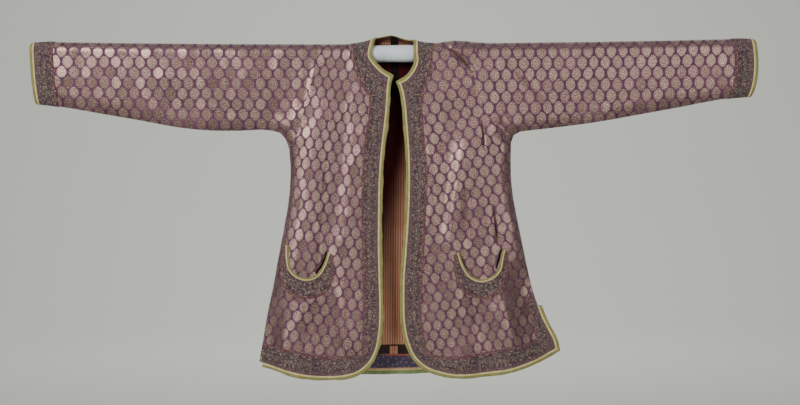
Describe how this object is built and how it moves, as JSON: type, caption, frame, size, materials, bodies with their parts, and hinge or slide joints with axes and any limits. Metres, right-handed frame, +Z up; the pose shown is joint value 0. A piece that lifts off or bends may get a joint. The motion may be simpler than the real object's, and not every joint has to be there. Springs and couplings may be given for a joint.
{
  "type": "coat on a padded rod",
  "caption": "Short lined coat of medallion brocade with speckled borders and bound edges, hung by its sleeves on a padded rod.",
  "frame": {"origin": "the middle of the rod's axis, where the rod is held", "axes": "+X along the rod to the viewer's right, +Y away from the coat's front, +Z up"},
  "size_m": [1.6496, 0.0821, 0.7851],
  "materials": {
    "muslin": "plain white muslin over padding",
    "brocade": "purple silk with gold medallions",
    "border": "many-coloured woven border",
    "binding": "olive green silk",
    "piping": "light yellow silk cord",
    "lining": "orange striped cotton",
    "black_cloth": "black cotton",
    "facing": "dark blue printed cotton"
  },
  "bodies": {
    "root": {"rod": "muslin", "rod_arm_left": "muslin", "rod_arm_right": "muslin", "back": "brocade", "front_left": "brocade", "front_right": "brocade", "sleeve_left": "brocade", "sleeve_right": "brocade", "border_front_left": "border", "border_front_right": "border", "border_cuff_left": "border", "border_cuff_right": "border", "border_back_hem": "border", "border_back_neck": "border", "pocket_border_left": "border", "pocket_border_right": "border", "binding_front_left": "binding", "binding_front_right": "binding", "binding_cuff_left": "binding", "binding_cuff_right": "binding", "binding_back_hem": "binding", "binding_back_neck": "binding", "pocket_binding_left": "binding", "pocket_binding_right": "binding", "piping_front_left": "piping", "piping_front_right": "piping", "piping_cuff_left": "piping", "piping_cuff_right": "piping", "piping_back_hem": "piping", "piping_back_neck": "piping", "pocket_piping_left": "piping", "pocket_piping_right": "piping", "lining_back": "lining", "band_back_hem": "black_cloth", "neck_tape": "black_cloth", "facing_back_hem": "facing"}
  },
  "joints": []
}
